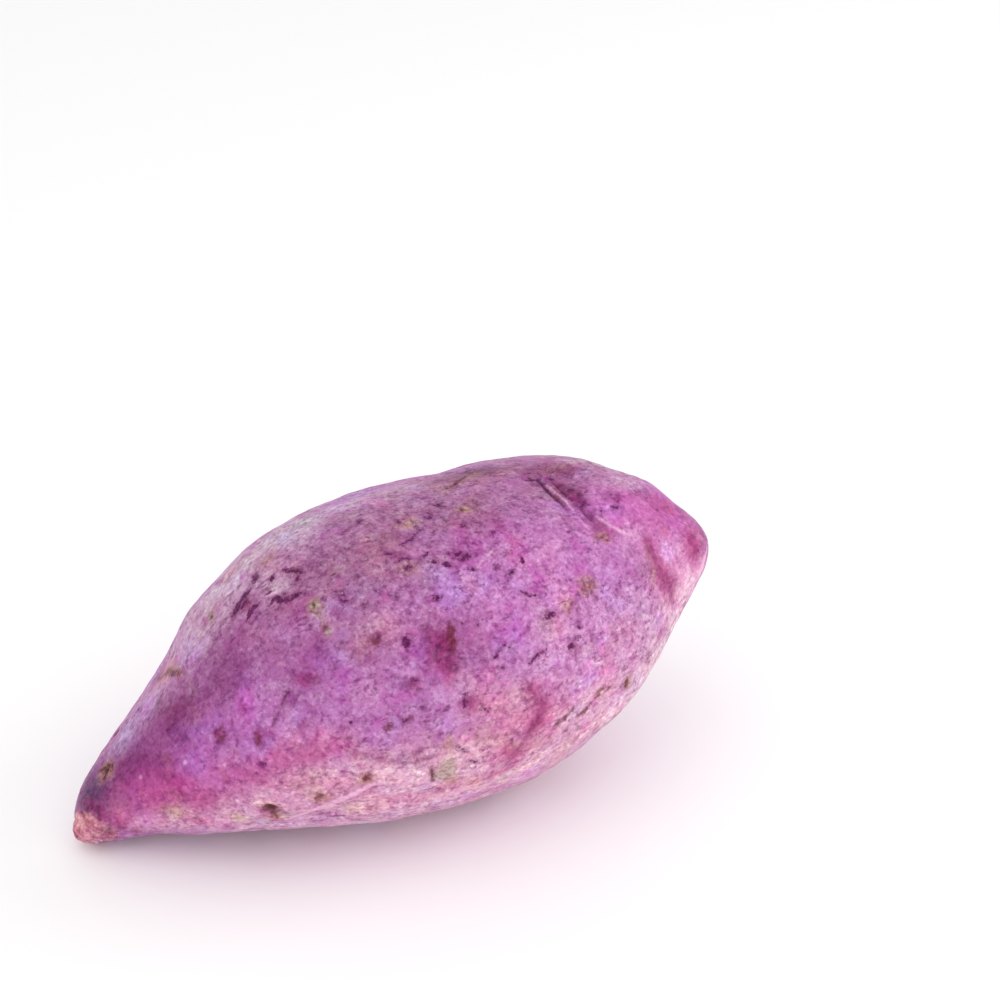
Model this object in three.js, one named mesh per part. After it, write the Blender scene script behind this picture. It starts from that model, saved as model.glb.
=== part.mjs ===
// A whole purple sweet potato, lying on its flattened belly.
// It is one storage root: a spindle with a thin broken-off root tip at -X, a full belly, and a blunt crown
// at +X that turns up and away. Its faults are part of its form: a healed cleft across the shoulder of the
// crown, a growth furrow round the crown, a low fold along the belly and a few shallow root scars.
//
// Frame, in millimetres: +X from the root tip to the crown, +Z up, and the origin on the resting surface
// under the middle of the root.

import * as THREE from "three";
import { mergeVertices } from "three/addons/utils/BufferGeometryUtils.js";

// Driving dimensions
const LENGTH = 165; // root tip to crown, before its two swollen ends add a millimetre each
const HALF_HEIGHT = 40.5; // half the thickness where the root is fullest
const FLATNESS = 1.07; // width over height of a section, because a root spreads a little where it lies
const BELLY_SINK = 0.9; // how far the round belly would reach below the surface it rests on
const FACE_CELLS = 30; // mesh cells along each edge of the six patches that cover the root

// The outline from tip to crown: `at` is the share of LENGTH, `girth` the share of HALF_HEIGHT.
const OUTLINE = [
  { at: 0, girth: 0 },
  { at: 0.006, girth: 0.11 },
  { at: 0.03, girth: 0.195 },
  { at: 0.09, girth: 0.34 },
  { at: 0.18, girth: 0.57 },
  { at: 0.3, girth: 0.835 },
  { at: 0.45, girth: 0.98 },
  { at: 0.6, girth: 1 },
  { at: 0.73, girth: 0.965 },
  { at: 0.85, girth: 0.78 },
  { at: 0.94, girth: 0.42 },
  { at: 0.985, girth: 0.205 },
  { at: 1, girth: 0 },
];

// The bend of the root: where the middle of a section lies, in millimetres beside and above the origin.
const SPINE = [
  { at: 0, beside: -1, above: 7 },
  { at: 0.08, beside: 0, above: 14.6 },
  { at: 0.18, beside: 0, above: 25.5 },
  { at: 0.3, beside: 0, above: 35.5 },
  { at: 0.45, beside: -1, above: 40.4 },
  { at: 0.62, beside: 1, above: 40.8 },
  { at: 0.8, beside: 4.5, above: 44.4 },
  { at: 1, beside: -5, above: 59 },
];

// A place on the root: `at` as above, and `around` in degrees from the front (-Y) over the top (90).
// Swellings stand out and hollows, with a negative height, sink in over a round patch of that spread.
const SWELLINGS = [
  { name: "corner of the broken tip", at: 0.004, around: -15, height: 2.1, spread: 3.5 },
  { name: "swollen end of the tip", at: 0.035, around: -80, height: 1.2, spread: 6 },
  { name: "shoulder of the tip", at: 0.045, around: 118, height: 0.8, spread: 7 },
  { name: "neck behind the tip", at: 0.09, around: -40, height: -1.5, spread: 7 },
  { name: "dent over the tip", at: 0.155, around: 122, height: -2.9, spread: 9 },
  { name: "hump behind the dent", at: 0.225, around: 120, height: 1.1, spread: 7 },
  { name: "root scar near the tip", at: 0.265, around: -22, height: -0.8, spread: 3.5 },
  { name: "dip along the back", at: 0.485, around: 115, height: -1.2, spread: 11 },
  { name: "root scar on the belly", at: 0.505, around: -15, height: -0.9, spread: 4 },
  { name: "bruise on the front", at: 0.52, around: 32, height: -0.6, spread: 5 },
  { name: "hollow behind the cleft", at: 0.795, around: 88, height: -1.1, spread: 7 },
  { name: "shoulder beyond the cleft", at: 0.86, around: 62, height: 0.8, spread: 9 },
  { name: "shoulder behind the crown", at: 0.92, around: 98, height: 1.9, spread: 6.5 },
  { name: "flat side of the crown", at: 0.92, around: 0, height: -1.2, spread: 9 },
  { name: "swollen end of the crown", at: 0.972, around: 38, height: 2.6, spread: 7 },
];

// Furrows run from place to place, and sink in over a half-width of `reach`.
const FURROWS = [
  {
    name: "healed cleft",
    path: [
      { at: 0.74, around: 92 },
      { at: 0.768, around: 80 },
      { at: 0.79, around: 63 },
      { at: 0.81, around: 57 },
      { at: 0.847, around: 51 },
    ],
    depth: 1.5,
    reach: 2.6,
  },
  {
    name: "growth furrow round the crown",
    path: [
      { at: 0.88, around: 50 },
      { at: 0.885, around: 22 },
      { at: 0.88, around: -20 },
      { at: 0.86, around: -50 },
    ],
    depth: 0.7,
    reach: 4,
  },
  {
    name: "low fold along the belly",
    path: [
      { at: 0.24, around: -35 },
      { at: 0.34, around: -28 },
      { at: 0.42, around: -23 },
      { at: 0.5, around: -22 },
    ],
    depth: 0.7,
    reach: 3,
  },
];

// The slow unevenness of a root that grew in soil: lobes that wind round it, and shorter lumps.
// Each wave is the length in millimetres over which its sine turns by one radian.
const LOBES = { height: 0.6, count: 3, alongWave: 21, twistWave: 60, shift: -0.2 };
const LUMPS = { height: 0.4, alongWave: 9.5, acrossWave: 17, upWave: 12, slantWave: 31, shift: 1.1 };
const SMOOTH_ENDS = 1 / 3; // share of the half-length over which the unevenness fades at each end

// Working precision, far finer than the mesh
const OUTLINE_STEPS = 1200;
const PLACE_STEPS = 24;
const SAME_CORNER = 1e-4;

const X_AXIS = new THREE.Vector3(1, 0, 0);

// The outline as a closed curve, mirrored below the axis so that it meets both ends squarely.
function outlineCurve() {
  const upper = OUTLINE.map(
    ({ at, girth }) => new THREE.Vector3((at - 0.5) * LENGTH, girth * HALF_HEIGHT, 0),
  );
  const lower = upper.slice(1, -1).reverse().map((p) => new THREE.Vector3(p.x, -p.y, 0));
  const curve = new THREE.CatmullRomCurve3([...upper, ...lower], true, "centripetal");
  curve.arcLengthDivisions = OUTLINE_STEPS;
  return curve;
}

const outline = outlineCurve();
const spine = new THREE.CubicInterpolant(
  SPINE.map((s) => s.at),
  SPINE.flatMap((s) => [s.beside, s.above]),
  2,
);

// The bare spindle: the point of the root that a direction from its middle reaches.
function spindlePoint(direction) {
  const fromTip = Math.acos(THREE.MathUtils.clamp(-direction.x, -1, 1)) / (2 * Math.PI);
  const { x, y: radius } = outline.getPointAt(fromTip);
  const [beside, above] = spine.evaluate(x / LENGTH + 0.5);
  const across = Math.hypot(direction.y, direction.z) || 1;
  return new THREE.Vector3(
    x,
    beside + (FLATNESS * radius * direction.y) / across,
    above + (radius * direction.z) / across,
  );
}

// The direction from the middle of the root to a place on it, found by halving.
function directionTo({ at, around }) {
  const angle = THREE.MathUtils.degToRad(around);
  const ring = new THREE.Vector3(0, -Math.cos(angle), Math.sin(angle));
  let low = 0;
  let high = Math.PI;
  for (let i = 0; i < PLACE_STEPS; i++) {
    const middle = (low + high) / 2;
    const { x } = outline.getPointAt(middle / (2 * Math.PI));
    if (x / LENGTH + 0.5 < at) low = middle;
    else high = middle;
  }
  return ring.multiplyScalar(Math.sin(low)).addScaledVector(X_AXIS, -Math.cos(low));
}

const placePoint = (place) => spindlePoint(directionTo(place));

const swellings = SWELLINGS.map((s) => ({ ...s, centre: placePoint(s) }));
const furrows = FURROWS.map((f) => ({ ...f, line: f.path.map(placePoint) }));

// How far a point is from a line through several points.
function distanceToLine(point, line) {
  const nearest = new THREE.Vector3();
  return Math.min(
    ...line.slice(1).map((end, i) =>
      new THREE.Line3(line[i], end)
        .closestPointToPoint(point, true, nearest)
        .distanceTo(point),
    ),
  );
}

const bell = (distance, spread) => Math.exp(-((distance / spread) ** 2));

function unevenness({ x, y, z }) {
  const turn = LOBES.count * Math.atan2(z - HALF_HEIGHT, y) + x / LOBES.twistWave;
  const lobes = Math.sin(x / LOBES.alongWave + LOBES.shift) * Math.sin(turn);
  const level = Math.sin(x / LUMPS.alongWave + y / LUMPS.acrossWave);
  const rise = Math.cos(z / LUMPS.upWave - x / LUMPS.slantWave + LUMPS.shift);
  return LOBES.height * lobes + LUMPS.height * level * rise;
}

// The finished surface: the spindle with its swellings, furrows and unevenness, flat where it rests.
function rootPoint(direction) {
  const point = spindlePoint(direction);
  const outward = new THREE.Vector3(
    direction.x / LENGTH,
    direction.y / (2 * HALF_HEIGHT),
    direction.z / (2 * HALF_HEIGHT),
  ).normalize();
  const fade = Math.min(1, (1 - Math.abs(direction.x)) / SMOOTH_ENDS);
  let height = unevenness(point) * fade;
  for (const s of swellings) height += s.height * bell(point.distanceTo(s.centre), s.spread);
  for (const f of furrows) height -= f.depth * bell(distanceToLine(point, f.line), f.reach);
  point.addScaledVector(outward, height);
  point.z = Math.max(point.z - BELLY_SINK, 0);
  return point;
}

// A box's six faces blown up to a ball and then drawn out to the root, so that the cells stay even.
function rootGeometry() {
  const box = new THREE.BoxGeometry(2, 2, 2, FACE_CELLS, FACE_CELLS, FACE_CELLS);
  box.deleteAttribute("normal");
  box.deleteAttribute("uv");
  const geometry = mergeVertices(box, SAME_CORNER);
  const places = geometry.getAttribute("position");
  const direction = new THREE.Vector3();
  for (let i = 0; i < places.count; i++) {
    direction.fromBufferAttribute(places, i);
    direction.set(...direction.toArray().map((v) => Math.tan((v * Math.PI) / 4))).normalize();
    places.setXYZ(i, ...rootPoint(direction).toArray());
  }
  geometry.computeBoundingBox();
  const middle = geometry.boundingBox.getCenter(new THREE.Vector3());
  geometry.translate(-middle.x, -middle.y, 0);
  geometry.computeVertexNormals();
  return geometry;
}

const skin = new THREE.MeshStandardMaterial({ color: 0xb1729f, roughness: 0.62, metalness: 0 });

const sweetPotato = new THREE.Mesh(rootGeometry(), skin);
sweetPotato.name = "sweet_potato";

const part = new THREE.Group();
part.name = "purple_sweet_potato";
part.add(sweetPotato);

export default part;
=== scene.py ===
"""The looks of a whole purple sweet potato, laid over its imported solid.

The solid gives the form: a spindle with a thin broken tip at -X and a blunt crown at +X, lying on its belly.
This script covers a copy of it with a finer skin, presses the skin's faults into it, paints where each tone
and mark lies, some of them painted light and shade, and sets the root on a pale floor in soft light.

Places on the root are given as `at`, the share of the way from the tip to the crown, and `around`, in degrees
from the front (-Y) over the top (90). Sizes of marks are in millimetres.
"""

import itertools
import logging
import math
import random
from collections.abc import Iterable
from dataclasses import dataclass
from enum import Enum

import bmesh
import bpy
import numpy as np
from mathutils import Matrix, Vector, noise
from mathutils.bvhtree import BVHTree


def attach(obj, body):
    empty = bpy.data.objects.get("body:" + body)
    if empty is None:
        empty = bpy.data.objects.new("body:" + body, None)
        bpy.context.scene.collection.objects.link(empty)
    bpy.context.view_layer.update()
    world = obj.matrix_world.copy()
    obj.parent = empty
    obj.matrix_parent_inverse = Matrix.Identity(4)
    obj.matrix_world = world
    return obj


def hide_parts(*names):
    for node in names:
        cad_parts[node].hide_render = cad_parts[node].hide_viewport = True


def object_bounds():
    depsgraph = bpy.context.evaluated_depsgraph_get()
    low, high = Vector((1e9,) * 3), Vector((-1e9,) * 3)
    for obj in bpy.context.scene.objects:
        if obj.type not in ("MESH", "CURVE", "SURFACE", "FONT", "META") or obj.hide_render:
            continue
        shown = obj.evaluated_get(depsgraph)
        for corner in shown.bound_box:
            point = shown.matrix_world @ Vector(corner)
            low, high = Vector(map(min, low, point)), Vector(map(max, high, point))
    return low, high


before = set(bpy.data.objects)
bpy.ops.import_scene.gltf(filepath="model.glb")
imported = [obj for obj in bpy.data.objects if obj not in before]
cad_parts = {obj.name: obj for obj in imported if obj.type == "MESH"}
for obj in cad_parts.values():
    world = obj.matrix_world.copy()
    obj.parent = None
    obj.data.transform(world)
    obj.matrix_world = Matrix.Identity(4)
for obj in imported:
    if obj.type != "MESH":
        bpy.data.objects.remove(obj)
CAD_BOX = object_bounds()
ROOT_LENGTH = CAD_BOX[1].x - CAD_BOX[0].x

LOG = logging.getLogger("sweet_potato")
MM = 0.001

Floats = np.ndarray
Colour = tuple[float, float, float, float]
Pair = tuple[float, float]


def linear(code: str) -> Colour:
    """Turns a display colour into the linear one that shaders use.

    Args:
        code: the colour as "#rrggbb".

    Returns:
        Red, green, blue and an alpha of 1.
    """
    shares = [int(code[i : i + 2], 16) / 255 for i in (1, 3, 5)]
    return (*(s / 12.92 if s <= 0.04045 else ((s + 0.055) / 1.055) ** 2.4 for s in shares), 1.0)


def add_object(name: str, data: bpy.types.ID) -> bpy.types.Object:
    """Adds an object to the scene, at the origin.

    Args:
        name: the object's name.
        data: its mesh, light or camera.

    Returns:
        The new object.
    """
    made = bpy.data.objects.new(name, data)
    bpy.context.collection.objects.link(made)
    return made


def smooth_step(values: Floats, low: float, high: float) -> Floats:
    """Eases values from 0 at `low` to 1 at `high`.

    Args:
        values: the numbers to ease.
        low: where the result leaves 0.
        high: where the result reaches 1.

    Returns:
        The eased numbers.
    """
    share = np.clip((values - low) / (high - low), 0.0, 1.0)
    return share * share * (3.0 - 2.0 * share)


class Tone(Enum):
    """The tones of the skin, and of the light and shade painted on it, as display colours."""

    MAUVE = "#b06ca8"
    HEATHER = "#9f6688"
    LILAC = "#bd8cbb"
    DUSTY_LILAC = "#c69fb6"
    MIST = "#c2a6d2"
    VIOLET = "#ab5ea6"
    ORCHID = "#c678bb"
    PALE_ORCHID = "#d89cc8"
    MAGENTA = "#bd5aa0"
    DEEP_PURPLE = "#8a2076"
    RASPBERRY = "#a02a76"
    AUBERGINE = "#772660"
    PLUM = "#542850"
    WINE = "#944a76"
    ROSE = "#d58aa8"
    ROSE_RED = "#c95f8c"
    CRIMSON = "#ac3c78"
    CERISE = "#b44e8c"
    BURGUNDY = "#7e2858"
    # the colour of a painted highlight, not a tone of the skin
    PAINTED_HIGHLIGHT = "#dca0dc"
    SHELL_PINK = "#e2b0c8"
    CREAM = "#ecb6c8"
    STRAW = "#dca888"


class MarkKind(Enum):
    """What a mark on the skin is. Each kind has a field on the mesh, named by its value."""

    FLECK = "fleck"
    CORK = "cork"
    PIT = "pit"
    # bruises, and painted shade beside the cleft
    BRUISE_AND_SHADE = "bruise_and_shade"
    WEAL = "weal"
    STAIN = "stain"
    # scratches, and painted highlights on lips and ridges
    GRAZE_AND_HIGHLIGHT = "graze_and_highlight"
    # splits, whose dark colour is painted shade in their hollows
    SPLIT = "split"
    STUB = "stub"


@dataclass(frozen=True)
class Place:
    """A place on the root: the share of its length and the degrees around it."""

    at: float
    around: float

    def towards(self, other: "Place", share: float) -> "Place":
        """Gives the place that lies `share` of the way to another one."""
        return Place(
            self.at + (other.at - self.at) * share,
            self.around + (other.around - self.around) * share,
        )


class RootForm:
    """The finer skin of the root as a mesh in the making, and the way to name places on it.

    The fine margin is how far outside a sharp mark the cells are halved, in millimetres, and the taper limit
    is how many times thinner than the fullest section a part may be and still have its taper evened out.
    """

    SAME_CORNER = MM / 1000
    SUBDIVISIONS = 2
    STATIONS = 60
    FINE_MARGIN = 0.35
    TAPER_LIMIT = 20

    def __init__(self, node: bpy.types.Object) -> None:
        """Makes the finer skin from the root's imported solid.

        Args:
            node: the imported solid, which is left as it is.
        """
        self.mesh = self._subdivided(node)
        self._measure()

    def _subdivided(self, node: bpy.types.Object) -> bmesh.types.BMesh:
        """Merges a copy of the solid's loose triangles into quads and rounds them off.

        Args:
            node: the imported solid.

        Returns:
            The skin, with cells of about 0.6 mm.
        """
        coarse = bmesh.new()
        coarse.from_mesh(node.data)
        bmesh.ops.remove_doubles(coarse, verts=coarse.verts, dist=self.SAME_CORNER)
        bmesh.ops.join_triangles(
            coarse,
            faces=coarse.faces,
            angle_face_threshold=math.pi,
            angle_shape_threshold=math.pi,
        )
        cage_mesh = bpy.data.meshes.new("cage")
        coarse.to_mesh(cage_mesh)
        coarse.free()
        cage = add_object("cage", cage_mesh)
        rounding = cage.modifiers.new("rounding", "SUBSURF")
        rounding.levels = rounding.render_levels = self.SUBDIVISIONS
        skin = bmesh.new()
        skin.from_object(cage, bpy.context.evaluated_depsgraph_get())
        bpy.data.objects.remove(cage)
        bpy.data.meshes.remove(cage_mesh)
        return skin

    def _measure(self) -> None:
        """Finds the middle line and the half-thickness of the root, and readies it for ray casts."""
        self.mesh.verts.ensure_lookup_table()
        self.points = np.array([v.co for v in self.mesh.verts])
        self.tip, crown = self.points[:, 0].min(), self.points[:, 0].max()
        self.length = crown - self.tip
        self.stations = np.linspace(self.tip, crown, self.STATIONS)
        reach = self.length / self.STATIONS
        middles, halves = [], []
        for x in self.stations:
            ring = self.points[np.abs(self.points[:, 0] - x) < reach, 1:]
            low, high = ring.min(axis=0), ring.max(axis=0)
            middles.append((low + high) / 2)
            halves.append((high - low).mean() / 2)
        self.middles, self.halves = np.array(middles), np.array(halves)
        self.tree = BVHTree.FromBMesh(self.mesh)

    def middle(self, x: Floats) -> Floats:
        """Gives the middle line's y and z at each x."""
        return np.stack([np.interp(x, self.stations, self.middles[:, i]) for i in (0, 1)], axis=-1)

    def locate(self, place: Place) -> tuple[Vector, Vector]:
        """Finds a place on the skin.

        Args:
            place: where on the root.

        Returns:
            The point on the skin and the direction that faces out there.
        """
        x = self.tip + place.at * self.length
        y, z = self.middle(np.array(x))
        angle = math.radians(place.around)
        outward = Vector((0.0, -math.cos(angle), math.sin(angle)))
        point, normal, _, _ = self.tree.ray_cast(Vector((x, y, z)), outward)
        return point, normal

    def straightened(self) -> Floats:
        """Gives each corner's place with the root's bend and part of its taper taken out, for streaks.

        Returns:
            Millimetres along the root, and the two ways across it, as three columns.
        """
        across = self.points[:, 1:] - self.middle(self.points[:, 0])
        half = np.interp(self.points[:, 0], self.stations, self.halves)
        fullest = self.halves.max()
        evened = np.sqrt(fullest / np.maximum(half, fullest / self.TAPER_LIMIT))
        return np.column_stack([self.points[:, 0], across * evened[:, None]]) / MM

    def refine(self, wanted: Floats) -> None:
        """Halves the cells where a mark's edge needs them fine.

        Args:
            wanted: for each corner, whether the skin is to be finer there.
        """
        faces = [f for f in self.mesh.faces if any(wanted[v.index] for v in f.verts)]
        edges = list({e for f in faces for e in f.edges})
        bmesh.ops.subdivide_edges(self.mesh, edges=edges, cuts=1, use_grid_fill=True)
        self.mesh.verts.index_update()
        self._measure()


@dataclass(frozen=True)
class Dab:
    """An oval mark, `long` by `wide` millimetres, turned by `lean` degrees from along to around the root."""

    place: Place
    long: float
    wide: float
    lean: float = 0.0

    def depth_inside(self, form: RootForm, reach: float) -> tuple[Floats, Floats]:
        """Says how far each nearby corner lies inside the mark.

        Args:
            form: the root's form.
            reach: how far outside the mark to look, in millimetres.

        Returns:
            The numbers of the nearby corners, and millimetres inside for each, negative outside.
        """
        centre, normal = form.locate(self.place)
        along = Vector((1.0, 0.0, 0.0))
        along = (along - normal * along.dot(normal)).normalized()
        angle, turn = math.radians(self.place.around), math.radians(self.lean)
        across = normal.cross(along)
        across *= math.copysign(1.0, across.dot(Vector((0.0, math.sin(angle), math.cos(angle)))))
        axis = along * math.cos(turn) + across * math.sin(turn)
        side = normal.cross(axis)
        offset = (form.points - np.array(centre)) / MM
        near = np.flatnonzero((offset**2).sum(axis=1) < (self.long / 2 + reach) ** 2)
        u = offset[near] @ np.array(axis) / (self.long / 2)
        v = offset[near] @ np.array(side) / (self.wide / 2)
        return near, (1.0 - np.hypot(u, v)) * self.wide / 2


@dataclass(frozen=True)
class Stroke:
    """A line mark through places, `wide` millimetres across, that thins towards its ends.

    The blunt end is the square of the share of its half-width that is left there.
    """

    path: tuple[Place, ...]
    wide: float
    steps: int = 8
    blunt_end: float = 0.15

    def depth_inside(self, form: RootForm, reach: float) -> tuple[Floats, Floats]:
        """Says how far each nearby corner lies inside the mark.

        Args:
            form: the root's form.
            reach: how far outside the mark to look, in millimetres.

        Returns:
            The numbers of the nearby corners, and millimetres inside for each, negative outside.
        """
        places = [
            a.towards(b, i / self.steps)
            for a, b in zip(self.path, self.path[1:])
            for i in range(self.steps)
        ]
        line = np.array([form.locate(p)[0] for p in (*places, self.path[-1])])
        middle = line.mean(axis=0)
        span = np.linalg.norm(line - middle, axis=1).max() + (self.wide + reach) * MM
        near = np.flatnonzero(((form.points - middle) ** 2).sum(axis=1) < span**2)
        starts, steps = line[:-1], np.diff(line, axis=0)
        offset = form.points[near][:, None] - starts[None]
        share = np.clip((offset * steps).sum(axis=2) / (steps**2).sum(axis=1), 0.0, 1.0)
        distance = np.linalg.norm(offset - share[..., None] * steps, axis=2) / MM
        nearest = distance.argmin(axis=1)
        rows = np.arange(len(near))
        travelled = (nearest + share[rows, nearest]) / len(steps)
        half = self.wide / 2 * np.sqrt(np.clip(4 * travelled * (1 - travelled), self.blunt_end, 1.0))
        return near, half - distance[rows, nearest]


Mark = Dab | Stroke


def dab(at: float, around: float, long: float, wide: float, lean: float = 0.0) -> Dab:
    """Makes an oval mark at a place."""
    return Dab(Place(at, around), long, wide, lean)


def stroke(wide: float, *path: Pair) -> Stroke:
    """Makes a line mark through places given as (at, around)."""
    return Stroke(tuple(Place(*p) for p in path), wide)


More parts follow.
